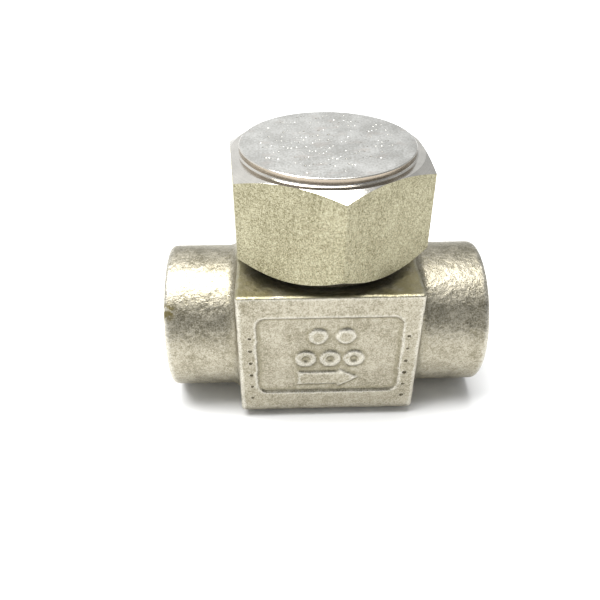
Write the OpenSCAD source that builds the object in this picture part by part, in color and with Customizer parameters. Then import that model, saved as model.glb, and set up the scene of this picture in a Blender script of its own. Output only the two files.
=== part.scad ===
// Screwed-cap lift check valve: block body, two plain socket ends in line, tall hexagon cap.
// +X is the way the flow goes, +Z is up, and the block stands on Z = 0.

/* [Overall] */
// Length from end face to end face
face_to_face = 80; // [66:1:110]
// Width of the block along the flow
block_w = 44.2; // [37:0.2:56]
// Depth of the block across the flow, at its top
block_depth = 44.3; // [38:0.1:56]
// How far the block rises above the pipe ends
block_head = 1.5; // [0.8:0.1:6]

/* [Block edges] */
// Slope of the front and back faces, which are narrower at the foot
draft_angle = 2.4; // [0:0.1:4]
// Rounding under the front and back faces
foot_round = 4.8; // [1:0.1:6]
// Rounding under the two side faces
side_round = 3.6; // [1:0.1:5]
// Rounding round the top of the block
top_round = 0.7; // [0.3:0.1:1.2]
// Rounding of the block's four upright edges
upright_round = 1; // [0.4:0.1:1.6]

/* [Pipe ends] */
// Outside diameter of each pipe end
end_d = 37.2; // [31:0.2:45]
// Gap under the pipe ends when the block stands on its foot
end_clear = 0.1; // [0:0.1:2]
// Rounding of the rim of each pipe end
end_rim_r = 1.2; // [0.4:0.1:2.5]
// Hollow fillet between the block and each pipe end
end_fillet = 2.6; // [1:0.1:4]
// Diameter of the pipe socket
socket_d = 21.9; // [18:0.1:27]
// Depth of the pipe socket
socket_depth = 10; // [8:0.5:12]
// Diameter of the flow passages
port_d = 11; // [8:0.5:12]

/* [Sunk panel] */
// Width of the plain margin at each side of the panel
panel_margin = 4.6; // [4:0.1:7]
// Height of the panel's lower edge above the foot
panel_foot = 8.6; // [7:0.1:10]
// Height of the plain margin above the panel
panel_head = 6.3; // [4:0.1:9]
// Rounding of the panel's corners
panel_corner = 2.6; // [1:0.1:4]
// Depth of the panel
panel_depth = 0.7; // [0.3:0.1:1.2]
// How far the arrow and the foundry pips stand up from the panel
mark_rise = 0.55; // [0.2:0.05:0.8]
// Length of the flow arrow
arrow_l = 14.8; // [10:0.2:18]
// Width of the arrow's bar
arrow_bar = 4; // [2:0.2:5]
// Width of the arrow's head
arrow_head = 5.6; // [5.2:0.1:7]
// Radius of the foundry pips
pip_r = 2.2; // [1:0.1:2.4]
// Distance of the punched dots from the block's sides
dot_margin = 3.1; // [2:0.1:3.6]
// Distance between the punched dots
dot_pitch = 3.94; // [3:0.02:4.2]
// Diameter of a punched dot
dot_d = 0.7; // [0.4:0.1:1]

/* [Seat] */
// Diameter of the seat orifice
orifice_d = 12; // [10:0.1:14.4]
// Width of the raised seat lip
lip_w = 1.4; // [0.8:0.1:1.8]
// Height of the seat lip
lip_h = 0.8; // [0.4:0.1:1.2]
// Height of the chamber floor above the pipe axis
floor_rise = 5.3; // [4.8:0.1:7]
// Thickness of the gasket under the seat ring
seat_gasket_t = 0.8; // [0.5:0.1:1.2]
// Thickness of the seat ring's flange
seat_flange_t = 3; // [2:0.1:4]

/* [Chamber and neck] */
// Diameter of the chamber that takes the cage
chamber_d = 26; // [24:0.1:31.2]
// Width of the gallery round the cage windows
gallery_w = 2.5; // [1:0.1:3.2]
// Height of the neck above the block
neck_h = 19.2; // [16:0.2:24]
// Thickness of the neck's wall outside the cage flange
neck_wall = 2.3; // [1.5:0.1:4]
// Pitch of the thread
thread_pitch = 2; // [1.5:0.5:2]

/* [Cage and piston] */
// Thickness of the cage's wall
cage_wall = 2.35; // [1.5:0.05:2.8]
// Number of windows in the cage
window_count = 4; // [3:1:6]
// How far the piston lifts, which is also the height of the windows
lift = 6; // [4:0.2:7.2]
// Thickness of the piston's wall
piston_wall = 2.35; // [1.9:0.05:2.8]
// Thickness of the piston's web
web_t = 3; // [2:0.2:4]
// Thickness of the soft seat insert
insert_t = 2.45; // [2:0.05:3]
// Width of each piston ring
ring_w = 1.5; // [1:0.1:2]
// Diameter of the retainer bolt
bolt_d = 4; // [3:0.5:5]

/* [Spring] */
// Diameter of the spring wire
wire_d = 0.9; // [0.6:0.1:1.2]
// Gap between the spring and the piston's bore
spring_side_gap = 1.15; // [0.4:0.05:2]
// Number of working coils
coil_count = 8; // [5:0.5:10]

/* [Cap] */
// Thickness of the cap's wall at the middle of a flat
cap_wall = 3.85; // [3:0.05:6]
// Thickness of the cap from its ceiling to the shoulder round the boss
cap_roof = 6.21; // [4:0.01:10]
// Gap between the block and the foot of the cap
cap_gap = 2.6; // [1.5:0.1:3.4]
// Width of the shoulder between the boss and a flat
shoulder_w = 1.9; // [1:0.1:4]
// Height of the boss
boss_h = 1.72; // [0.8:0.02:3]
// Slope of the top chamfer
top_chamfer_angle = 27.6; // [15:0.1:45]
// Slope of the bottom chamfer
foot_chamfer_angle = 43; // [20:1:50]
// How far the cap is turned, which brings one corner to the front
cap_turn = 4.95; // [0:0.05:60]
// Thickness of the cap gasket
cap_gasket_t = 1.4; // [1:0.1:2]

/* [Hidden] */

$fn = 96;

// Clearances
run_gap = 0.05;
press_gap = 0.05;
thread_gap = 0.2;
seat_gap = 0.05;
ring_gap = 0.03;
loose_gap = 0.1;
stop_gap = 0.1;
over = 1;

// Colours
cast_steel = [0.75, 0.73, 0.69];
cap_steel = [0.72, 0.70, 0.60];
bright_steel = [0.80, 0.80, 0.79];
spring_steel = [0.62, 0.63, 0.65];
white_plastic = [0.92, 0.91, 0.87];
graphite = [0.24, 0.24, 0.25];

// Pipe ends and block
end_r = end_d / 2;
half_length = face_to_face / 2;
socket_floor = half_length - socket_depth;
axis_height = end_r + end_clear;
block_h = axis_height + end_r + block_head;
half_w = block_w / 2;
half_top = block_depth / 2;
half_foot = half_top - block_h * tan(draft_angle);
panel_w = block_w - 2 * panel_margin;
panel_h = block_h - panel_foot - panel_head;

// Marks on the panel, measured from its lower edge
arrow_rise = 4.7;
arrow_head_share = 0.85;
button_rise = 18;
button_x = [-2.7, 4];
pip_ring_rise = 11;
pip_ring_x = [-5.6, 0.4, 6.2];
pip_ring_r = pip_r + 0.2;
dot_start = -1.6;
dots_in_column = 6;

// Seat and chamber
orifice_r = orifice_d / 2;
well_ease = 0.5;
well_r = orifice_r + well_ease;
well_z = 6.5;
seat_land = 2.1;
pocket_r = orifice_r + lip_w + seat_land;
pocket_depth = 3;
floor_z = axis_height + floor_rise;
pocket_z = floor_z - pocket_depth;
flange_z = floor_z + seat_gasket_t;
cage_z = flange_z + seat_flange_t;
lip_z = cage_z + lip_h;
chamber_r = chamber_d / 2;
gallery_r = chamber_r + gallery_w;
neck_z = block_h + neck_h;
counterbore_step = 1.6;
counterbore_r = chamber_r + counterbore_step;
counterbore_depth = 2;

// Cage
cage_flange_t = counterbore_depth - 2 * loose_gap;
guide_r = chamber_r - press_gap - cage_wall;
window_sill = 1.8;
window_z = cage_z + window_sill;
window_top = window_z + lift;
gallery_head = 1;
gallery_h = window_top + gallery_head - floor_z;
inlet_foot = [-2, axis_height - 6.7];
outlet_head = [chamber_r - 1, floor_z + 3.56];

// Thread on the neck and in the cap
thread_depth = 0.7;
root_r = counterbore_r + neck_wall;
crest_r = root_r + thread_depth;
relief_depth = 0.5;
relief_r = root_r - relief_depth;
relief_h = 4;
cap_crest_r = crest_r + thread_gap;
cap_root_r = cap_crest_r + thread_depth;
flat_share = 0.2;

// Piston stack, from the seat lip upwards
insert_z = lip_z + seat_gap;
insert_margin = 0.8;
insert_r = orifice_r + lip_w + insert_margin;
insert_cover = 0.75;
piston_z = insert_z + insert_cover;
web_z = insert_z + insert_t;
hollow_z = web_z + web_t;
gasket_recess = 0.4;
recess_r = chamber_r + 0.2;
ceiling_z = neck_z + cap_gasket_t - gasket_recess;
piston_top = ceiling_z - lift - stop_gap;
piston_r = guide_r - run_gap;
piston_bore_r = piston_r - piston_wall;
piston_chamfer = 0.6;
retainer_t = 1.2;
retainer_ease = 1;
retainer_r = orifice_r - retainer_ease;
bolt_r = bolt_d / 2;
bolt_head_share = 0.7;
bolt_head_h = bolt_head_share * bolt_d;
bolt_end = 0.6;
nut_share = 0.8;
nut_h = nut_share * bolt_d;
nut_flats_share = 1.75;
nut_corner_r = nut_flats_share * bolt_r / cos(30);
lock_t = 0.8;
lock_share = 1.8;
lock_r = lock_share * bolt_r;
lock_split = 0.5;
lock_z = insert_z - retainer_t - lock_t;
nut_z = lock_z - nut_h;
groove_depth = 1.25;
groove_w = ring_w + loose_gap;
ring_start = 2;
ring_step = 4;
ring_z = [window_top + ring_start, window_top + ring_start + ring_step];
ring_split = 1;
balance_d = 1.6;
balance_z = hollow_z + balance_d / 2 + loose_gap;

// Spring and its washer, held in a pocket in the cap
washer_t = 0.8;
spring_pocket_ease = 0.3;
spring_pocket_r = piston_bore_r + spring_pocket_ease;
spring_pocket_h = 2.2;
washer_z = ceiling_z + spring_pocket_h - washer_t;
spring_r = piston_bore_r - spring_side_gap - wire_d / 2;
spring_z = hollow_z + loose_gap;
spring_top = washer_z - loose_gap;

// Cap
cap_z = block_h + cap_gap;
shoulder_z = ceiling_z + cap_roof;
hex_h = shoulder_z - cap_z;
flat_r = cap_root_r + cap_wall;
hex_corner_r = flat_r / cos(30);
boss_r = flat_r - shoulder_w;
boss_fillet = 0.35;
boss_edge = 0.2;
top_chamfer_start = 0.1;
top_chamfer_r = flat_r + top_chamfer_start;
foot_chamfer_start = 0.3;
foot_chamfer_r = flat_r - foot_chamfer_start;

// A convex outline through the given points, anticlockwise, with a true arc at each corner
function unit(v) = v / norm(v);
function corner_angle(a, p, b) = acos(unit(a - p) * unit(b - p));
function corner_reach(a, p, b, r) = r / tan(corner_angle(a, p, b) / 2);
function corner_centre(a, p, b, r) =
    p + unit(unit(a - p) + unit(b - p)) * r / sin(corner_angle(a, p, b) / 2);
module rounded_outline(points, radii) {
    n = len(points);
    polygon([for (i = [0 : n - 1]) let (a = points[(i + n - 1) % n], p = points[i], b = points[(i + 1) % n],
                                        reach = corner_reach(a, p, b, radii[i]))
             each [p + unit(a - p) * reach, p + unit(b - p) * reach]]);
    for (i = [0 : n - 1])
        translate(corner_centre(points[(i + n - 1) % n], points[i], points[(i + 1) % n], radii[i]))
            circle(r = radii[i]);
}

// Ring with plain walls, standing on z
module ring(outer, inner, z, h) {
    translate([0, 0, z])
        rotate_extrude()
            translate([inner, 0])
                square([outer - inner, h]);
}

// Section across the flow, with draft, along the whole given length
module across_section(length) {
    rotate([90, 0, 90])
        translate([0, 0, -length / 2])
            linear_extrude(height = length)
                rounded_outline([[-half_foot, 0], [half_foot, 0], [half_top, block_h], [-half_top, block_h]],
                                [foot_round, foot_round, top_round, top_round]);
}

// Section along the flow
module along_section() {
    rotate([90, 0, 0])
        translate([0, 0, -block_depth])
            linear_extrude(height = 2 * block_depth)
                rounded_outline([[-half_w, 0], [half_w, 0], [half_w, block_h], [-half_w, block_h]],
                                [side_round, side_round, top_round, top_round]);
}

// One pipe end, from the block's side outwards along +X, with a rounded rim
module pipe_end() {
    translate([0, 0, axis_height])
        rotate([0, 90, 0])
            rotate_extrude() {
                translate([0, half_w])
                    square([end_r, half_length - end_rim_r - half_w]);
                translate([0, half_w])
                    square([end_r - end_rim_r, half_length - half_w]);
                translate([end_r - end_rim_r, half_length - end_rim_r])
                    circle(r = end_rim_r);
            }
}

// Hollow fillet round the root of one pipe end, no wider than the block
module end_root() {
    intersection() {
        translate([0, 0, axis_height])
            rotate([0, 90, 0])
                rotate_extrude()
                    translate([0, half_w])
                        difference() {
                            square([end_r + end_fillet, end_fillet]);
                            translate([end_r + end_fillet, end_fillet])
                                circle(r = end_fillet);
                        }
        across_section(face_to_face);
    }
}

// What the two pipe ends fill of the block's rounded edges
module root_core() {
    intersection() {
        translate([-half_w, 0, axis_height])
            rotate([0, 90, 0])
                cylinder(r = end_r + end_fillet, h = block_w);
        across_section(block_w);
    }
}

// Places children on the sloping front face, with x across, y up from the foot and z outwards
module on_front() {
    translate([0, -half_foot, 0])
        rotate([90 + draft_angle, 0, 0])
            children();
}

// What the rounding of the two upright edges of the front face takes away
module front_edge_waste() {
    on_front()
        for (side = [0, 1])
            mirror([side, 0, 0])
                translate([0, -end_fillet, 0])
                    rotate([-90, 0, 0])
                        linear_extrude(height = block_h + 2 * end_fillet)
                            difference() {
                                translate([half_w - upright_round, -end_fillet])
                                    square(upright_round + end_fillet);
                                translate([half_w - upright_round, upright_round])
                                    circle(r = upright_round);
                            }
}

// Outline of the sunk panel
module panel_outline() {
    translate([0, panel_foot + panel_h / 2])
        rounded_outline([[-panel_w / 2, -panel_h / 2], [panel_w / 2, -panel_h / 2],
                         [panel_w / 2, panel_h / 2], [-panel_w / 2, panel_h / 2]],
                        [panel_corner, panel_corner, panel_corner, panel_corner]);
}

// Flow arrow, pointing along +X
module arrow_outline() {
    head_l = arrow_head * arrow_head_share;
    translate([-arrow_l / 2, panel_foot + arrow_rise])
        polygon([[0, -arrow_bar / 2], [arrow_l - head_l, -arrow_bar / 2], [arrow_l - head_l, -arrow_head / 2],
                 [arrow_l, 0], [arrow_l - head_l, arrow_head / 2], [arrow_l - head_l, arrow_bar / 2],
                 [0, arrow_bar / 2]]);
}

// Plain foundry pips above the arrow: two buttons over three rings
module pips() {
    for (x = button_x)
        translate([x, panel_foot + button_rise])
            circle(r = pip_r);
    for (x = pip_ring_x)
        translate([x, panel_foot + pip_ring_rise])
            difference() {
                circle(r = pip_ring_r);
                circle(r = pip_r / 2);
            }
}

// Two columns of dots beside the panel
module punched_dots() {
    for (side = [-1, 1], i = [0 : dots_in_column - 1])
        translate([side * (half_w - dot_margin), panel_foot + dot_start + i * dot_pitch, 0])
            sphere(d = dot_d, $fn = 24);
}

// Ridges of the thread: rings with sloping flanks, one pitch apart
module thread_ridges(root, crest, z, count) {
    rise = (1 - flat_share) / 2 * thread_pitch;
    for (i = [0 : count - 1])
        translate([0, 0, z + i * thread_pitch])
            rotate_extrude()
                polygon([[root, 0], [crest, rise], [crest, rise + flat_share * thread_pitch],
                         [root, thread_pitch]]);
}

// Drilled passage between two points in the plane y = 0
module passage(from, to) {
    run = to - from;
    translate([from[0], 0, from[1]])
        rotate([0, 90 - atan2(run[1], run[0]), 0])
            cylinder(d = port_d, h = norm(run));
}

// Drilled passage from the inlet's socket down to the well
module inlet_passage() {
    passage([-socket_floor - over, axis_height], inlet_foot);
}

// Drilled passage from the gallery up to the outlet's socket
module outlet_passage() {
    passage([socket_floor + over, axis_height], outlet_head);
}

module block_hollows() {
    inlet_passage();
    outlet_passage();
    translate([0, 0, well_z])
        cylinder(r = well_r, h = floor_z - well_z);
    translate([0, 0, pocket_z])
        cylinder(r = pocket_r, h = floor_z - pocket_z + over);
    translate([0, 0, floor_z])
        cylinder(r = gallery_r, h = gallery_h);
    translate([0, 0, floor_z])
        cylinder(r = chamber_r, h = block_h - floor_z + over);
}

// The middle of the casting: the block, with its panels and foundry marks
module valve_body() {
    color(cast_steel)
        difference() {
            union() {
                difference() {
                    union() {
                        intersection() {
                            across_section(block_w + over);
                            along_section();
                        }
                        root_core();
                    }
                    for (side = [0, 1])
                        mirror([0, side, 0]) {
                            front_edge_waste();
                            on_front()
                                translate([0, 0, -panel_depth])
                                    linear_extrude(height = 2 * panel_depth)
                                        panel_outline();
                        }
                    on_front()
                        punched_dots();
                }
                on_front()
                    translate([0, 0, -2 * panel_depth])
                        linear_extrude(height = panel_depth + mark_rise) {
                            arrow_outline();
                            pips();
                        }
            }
            block_hollows();
        }
}

// One pipe end of the casting, along +X, from the block's side to its mouth, with its socket
module end_casting() {
    difference() {
        union() {
            pipe_end();
            end_root();
        }
        for (side = [0, 1])
            mirror([0, side, 0])
                front_edge_waste();
        translate([socket_floor, 0, axis_height])
            rotate([0, 90, 0])
                cylinder(d = socket_d, h = socket_depth + over);
    }
}

// The upstream end of the casting
module inlet_end() {
    color(cast_steel)
        difference() {
            mirror([1, 0, 0])
                end_casting();
            inlet_passage();
        }
}

// The downstream end of the casting
module outlet_end() {
    color(cast_steel)
        difference() {
            end_casting();
            outlet_passage();
        }
}

// The threaded neck of the casting, above the block
module valve_neck() {
    thread_z = block_h + relief_h;
    ridge_count = floor((neck_h - relief_h) / thread_pitch);
    color(bright_steel)
        difference() {
            union() {
                translate([0, 0, block_h])
                    cylinder(r = relief_r, h = relief_h + over);
                translate([0, 0, thread_z])
                    cylinder(r = root_r, h = neck_z - thread_z);
                thread_ridges(root_r - loose_gap, crest_r, thread_z, ridge_count);
            }
            translate([0, 0, block_h - over])
                cylinder(r = chamber_r, h = neck_h + 2 * over);
            translate([0, 0, neck_z - counterbore_depth])
                cylinder(r = counterbore_r, h = counterbore_depth + over);
        }
}

module seat_gasket() {
    side_gap = 0.5;
    color(graphite)
        ring(chamber_r - side_gap, pocket_r + loose_gap, floor_z, seat_gasket_t);
}

module seat_ring() {
    entry = 0.8;
    foot_gap = 0.4;
    side_gap = 0.4;
    ring_foot_z = pocket_z + foot_gap;
    color(bright_steel)
        difference() {
            union() {
                translate([0, 0, ring_foot_z])
                    cylinder(r = pocket_r - press_gap, h = flange_z - ring_foot_z + over);
                translate([0, 0, flange_z])
                    cylinder(r = chamber_r - side_gap, h = seat_flange_t);
                translate([0, 0, cage_z - over])
                    cylinder(r = orifice_r + lip_w, h = lip_h + over);
            }
            translate([0, 0, pocket_z])
                cylinder(r = orifice_r, h = lip_z - pocket_z + over);
            translate([0, 0, ring_foot_z - over])
                cylinder(r1 = orifice_r + entry + over, r2 = orifice_r, h = entry + over);
        }
}

module guide_cage() {
    window_w = 2 * guide_r * sin(120 / window_count);
    color(bright_steel)
        difference() {
            union() {
                ring(chamber_r - press_gap, guide_r, cage_z, neck_z - cage_z - over);
                ring(counterbore_r - loose_gap, guide_r, neck_z - cage_flange_t, cage_flange_t);
            }
            for (i = [0 : window_count - 1])
                rotate([0, 0, i * 360 / window_count])
                    translate([0, -window_w / 2, window_z])
                        cube([chamber_d, window_w, lift]);
        }
}

module piston() {
    color(bright_steel)
        difference() {
            rotate_extrude()
                polygon([[bolt_r + run_gap, piston_z], [piston_r - piston_chamfer, piston_z],
                         [piston_r, piston_z + piston_chamfer], [piston_r, piston_top - piston_chamfer],
                         [piston_r - piston_chamfer, piston_top], [bolt_r + run_gap, piston_top]]);
            translate([0, 0, piston_z - over])
                cylinder(r = insert_r + run_gap, h = web_z - piston_z + over);
            translate([0, 0, hollow_z])
                cylinder(r = piston_bore_r, h = piston_top - hollow_z + over);
            for (z = ring_z)
                ring(piston_r + over, piston_r - groove_depth, z, groove_w);
            translate([0, 0, balance_z])
                rotate([90, 0, 0])
                    cylinder(d = balance_d, h = 3 * piston_r, center = true);
        }
}

module seat_insert() {
    color(white_plastic)
        ring(insert_r, bolt_r + loose_gap, insert_z, insert_t);
}

module insert_retainer() {
    color(bright_steel)
        ring(retainer_r, bolt_r + loose_gap, insert_z - retainer_t, retainer_t);
}

module lock_washer() {
    color(spring_steel)
        difference() {
            ring(lock_r, bolt_r + loose_gap, lock_z, lock_t);
            rotate([0, 0, 45])
                translate([0, -lock_split / 2, lock_z - over])
                    cube([lock_r + over, lock_split, lock_t + 2 * over]);
        }
}

module retainer_nut() {
    color(bright_steel)
        difference() {
            translate([0, 0, nut_z])
                cylinder(r = nut_corner_r, h = nut_h, $fn = 6);
            translate([0, 0, nut_z - over])
                cylinder(r = bolt_r + run_gap, h = nut_h + 2 * over);
        }
}

module retainer_bolt() {
    end_z = nut_z - bolt_end;
    color(bright_steel) {
        translate([0, 0, hollow_z])
            cylinder(r = nut_corner_r, h = bolt_head_h, $fn = 6);
        translate([0, 0, end_z])
            cylinder(r = bolt_r, h = hollow_z - end_z + over);
    }
}

// Split ring in one of the piston's grooves
module piston_ring(z, split_angle) {
    color(graphite)
        difference() {
            ring(guide_r - ring_gap, piston_r - groove_depth + loose_gap, z + loose_gap / 2, ring_w);
            rotate([0, 0, split_angle])
                translate([0, -ring_split / 2, z - over])
                    cube([chamber_r, ring_split, ring_w + 2 * over]);
        }
}

module piston_ring_lower() {
    piston_ring(ring_z[0], 60);
}

module piston_ring_upper() {
    piston_ring(ring_z[1], 240);
}

// Wire swept along a helix with one flat dead coil at each end
module return_spring() {
    sides = 8;
    steps_per_coil = 20;
    dead = 1;
    wire_r = wire_d / 2;
    turns = coil_count + 2 * dead;
    steps = turns * steps_per_coil;
    low = spring_z + wire_r;
    high = spring_top - wire_r;
    rise = wire_d + loose_gap / 2;
    span = high - low - 2 * rise * dead;
    function height(t) =
        t < dead ? low + rise * t
        : t > turns - dead ? high - rise * (turns - t)
        : low + rise * dead + span * (t - dead) / coil_count;
    points = [for (i = [0 : steps]) let (t = i / steps_per_coil) for (k = [0 : sides - 1])
              let (a = 360 * k / sides, r = spring_r + wire_r * cos(a))
              [r * cos(360 * t), r * sin(360 * t), height(t) + wire_r * sin(a)]];
    walls = [for (i = [0 : steps - 1]) for (k = [0 : sides - 1]) let (m = (k + 1) % sides)
             each [[i * sides + k, i * sides + m, (i + 1) * sides + m],
                   [i * sides + k, (i + 1) * sides + m, (i + 1) * sides + k]]];
    first = [for (k = [0 : sides - 1]) sides - 1 - k];
    last = [for (k = [0 : sides - 1]) steps * sides + k];
    color(spring_steel)
        polyhedron(points, concat([first], walls, [last]));
}

module spring_washer() {
    color(bright_steel)
        ring(spring_pocket_r - loose_gap, spring_r - 2 * wire_d, washer_z, washer_t);
}

module cap_gasket() {
    color(graphite)
        ring(root_r - loose_gap, recess_r + loose_gap, neck_z, cap_gasket_t);
}

// Barrel that takes the corners off the hexagon at top and foot
module cap_chamfers() {
    side_r = hex_corner_r + over;
    top_drop = (side_r - top_chamfer_r) * tan(top_chamfer_angle);
    foot_rise = (side_r - foot_chamfer_r) * tan(foot_chamfer_angle);
    rotate_extrude()
        polygon([[0, cap_z], [foot_chamfer_r, cap_z], [side_r, cap_z + foot_rise],
                 [side_r, shoulder_z - top_drop], [top_chamfer_r, shoulder_z], [0, shoulder_z]]);
}

// Round boss on top of the hexagon, with a small fillet at its root and a broken edge
module boss() {
    translate([0, 0, shoulder_z])
        rotate_extrude()
            difference() {
                polygon([[0, -over], [boss_r + boss_fillet, -over], [boss_r + boss_fillet, boss_fillet],
                         [boss_r, boss_fillet], [boss_r, boss_h - boss_edge], [boss_r - boss_edge, boss_h],
                         [0, boss_h]]);
                translate([boss_r + boss_fillet, boss_fillet])
                    circle(r = boss_fillet);
            }
}

module cap() {
    mouth = 0.6;
    plain_mouth = 1.6;
    thread_start = cap_z + plain_mouth;
    thread_end_gap = 2;
    cap_ridges = floor((neck_z - thread_end_gap - thread_start) / thread_pitch);
    color(cap_steel)
        difference() {
            union() {
                intersection() {
                    translate([0, 0, cap_z])
                        rotate([0, 0, 30 + cap_turn])
                            cylinder(r = hex_corner_r, h = hex_h, $fn = 6);
                    cap_chamfers();
                }
                boss();
            }
            difference() {
                translate([0, 0, cap_z - over])
                    cylinder(r = cap_root_r, h = ceiling_z - cap_z + over);
                thread_ridges(cap_root_r + loose_gap, cap_crest_r, thread_start, cap_ridges);
            }
            translate([0, 0, cap_z - over])
                cylinder(r1 = cap_root_r + mouth + over, r2 = cap_root_r, h = mouth + over);
            ring(root_r, recess_r, ceiling_z - over, neck_z + cap_gasket_t - ceiling_z + over);
            translate([0, 0, ceiling_z - over])
                cylinder(r = spring_pocket_r, h = spring_pocket_h + over);
        }
}

valve_body();
inlet_end();
outlet_end();
valve_neck();
seat_gasket();
seat_ring();
guide_cage();
piston();
seat_insert();
insert_retainer();
lock_washer();
retainer_nut();
retainer_bolt();
piston_ring_lower();
piston_ring_upper();
return_spring();
spring_washer();
cap_gasket();
cap();
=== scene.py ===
import math
from random import Random

import bpy
import numpy as np
from bpy.props import (
    FloatProperty,
    FloatVectorProperty,
    IntProperty,
    PointerProperty,
)
from mathutils import Matrix, Vector, noise


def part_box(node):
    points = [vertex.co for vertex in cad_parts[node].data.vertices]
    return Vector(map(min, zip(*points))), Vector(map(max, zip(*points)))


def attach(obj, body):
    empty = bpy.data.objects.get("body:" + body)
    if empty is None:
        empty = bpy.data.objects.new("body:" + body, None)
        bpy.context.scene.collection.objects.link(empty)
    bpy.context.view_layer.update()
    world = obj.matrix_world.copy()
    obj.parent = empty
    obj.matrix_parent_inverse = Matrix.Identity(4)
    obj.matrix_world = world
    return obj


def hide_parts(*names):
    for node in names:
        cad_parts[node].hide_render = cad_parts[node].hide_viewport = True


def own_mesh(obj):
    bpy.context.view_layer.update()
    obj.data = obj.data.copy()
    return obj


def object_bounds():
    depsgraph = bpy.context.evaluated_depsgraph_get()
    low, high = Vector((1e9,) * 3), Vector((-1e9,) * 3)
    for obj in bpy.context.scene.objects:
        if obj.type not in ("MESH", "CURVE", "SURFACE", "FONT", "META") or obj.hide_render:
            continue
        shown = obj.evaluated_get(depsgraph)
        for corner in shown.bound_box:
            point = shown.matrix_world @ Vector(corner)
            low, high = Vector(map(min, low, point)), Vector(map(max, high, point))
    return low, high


bl_info = {
    "name": "Screwed-cap lift check valve",
    "version": (1, 0, 0),
    "blender": (4, 5, 0),
    "location": "View3D > Sidebar > Check valve",
    "description": "Builds the visual model of a steel lift check valve on its packed frame",
    "category": "Add Mesh",
}

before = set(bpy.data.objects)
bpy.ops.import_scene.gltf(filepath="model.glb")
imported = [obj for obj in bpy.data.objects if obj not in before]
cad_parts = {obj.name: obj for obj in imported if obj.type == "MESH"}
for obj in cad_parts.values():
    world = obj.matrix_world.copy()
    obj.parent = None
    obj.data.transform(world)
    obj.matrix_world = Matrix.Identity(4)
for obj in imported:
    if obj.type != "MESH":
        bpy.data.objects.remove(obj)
cad_low, cad_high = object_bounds()
MM = 0.001
WELD = 0.002 * MM
body_low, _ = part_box("valve_body")
neck_low, neck_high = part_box("valve_neck")
_, outlet_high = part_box("outlet_end")
cap_low, cap_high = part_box("cap")
spring_low, spring_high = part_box("return_spring")


def length(name, about, default_mm, low=0.0, high=200.0):
    """A length property, given in millimetres and kept in metres."""
    return FloatProperty(
        name=name,
        description=about,
        default=default_mm * MM,
        min=low * MM,
        max=high * MM,
        unit="LENGTH",
        precision=5,
    )


def finish_colour(name, about, colour):
    """A colour property."""
    return FloatVectorProperty(
        name=name, description=about, default=colour, size=3, min=0.0, max=1.0, subtype="COLOR"
    )


class CastingSettings(bpy.types.PropertyGroup):
    """Sizes of the cast block and its two pipe ends."""

    block_height: length("Block height", "Height of the block's top face above its foot", 38.8)
    axis_height: length("Axis height", "Height of the pipe axis above the foot", 18.7)
    grain: length("Grain", "Size of the surface grid that carries the cast skin", 0.4, 0.2, 2)
    skin_depth: length("Skin depth", "Depth of the waviness of the cast skin", 0.09, 0, 1)
    socket_radius: length("Socket radius", "Radius of the pipe sockets", 10.95)
    socket_depth: length("Socket depth", "Depth of the pipe sockets", 10)
    socket_chamfer: length("Socket chamfer", "Width of the chamfer at the socket's mouth", 0.5)
    port_radius: length("Port radius", "Radius of the slanting flow passages", 5.5)
    well_radius: length("Well radius", "Radius of the well under the seat", 6.5)
    well_floor: length("Well floor", "Height of the bottom of the well", 6.5)
    pocket_radius: length("Pocket radius", "Radius of the pocket for the seat ring", 9.5)
    pocket_floor: length("Pocket floor", "Height of the bottom of the seat pocket", 21)
    gallery_radius: length("Gallery radius", "Radius of the ring-shaped gallery round the cage", 15.5)
    gallery_floor: length("Gallery floor", "Height of the bottom of the gallery", 24)
    gallery_top: length("Gallery top", "Height of the top of the gallery", 36.6)
    chamber_radius: length("Chamber radius", "Radius of the chamber above the gallery", 13)
    dot_radius: length("Dot radius", "Radius of the punched dots beside the panel", 0.5)
    dot_pitch: length("Dot pitch", "Distance between punched dots", 3.94)
    dot_side: length("Dot distance", "Distance of the dot rows from the middle of the block", 19.0)
    dot_foot: length("Lowest dot", "Height of the lowest punched dot", 7)
    face_draft: FloatProperty(
        name="Face draft",
        description="Slope of the front face",
        default=math.radians(2.4),
        subtype="ANGLE",
    )
    inlet_drop: length("Inlet drop", "How far the inlet passage falls towards the well", 6.7)
    outlet_rise: length("Outlet rise", "How far the outlet passage rises towards the gallery", 8.86)


class NeckSettings(bpy.types.PropertyGroup):
    """Sizes of the threaded neck."""

    bore_radius: length("Bore radius", "Radius of the chamber inside the neck", 13)
    seat_radius: length("Counterbore radius", "Radius of the counterbore for the cage flange", 14.6)
    seat_depth: length("Counterbore depth", "Depth of the counterbore", 2)
    root_radius: length("Thread root radius", "Radius at the root of the thread", 16.9)
    crest_radius: length("Thread crest radius", "Radius at the crest of the thread", 17.6)
    relief_radius: length("Relief radius", "Radius of the groove under the thread", 16.4)
    relief_height: length("Relief height", "Height of the groove under the thread", 4)
    pitch: length("Pitch", "Rise of the thread in one turn", 2)


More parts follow.
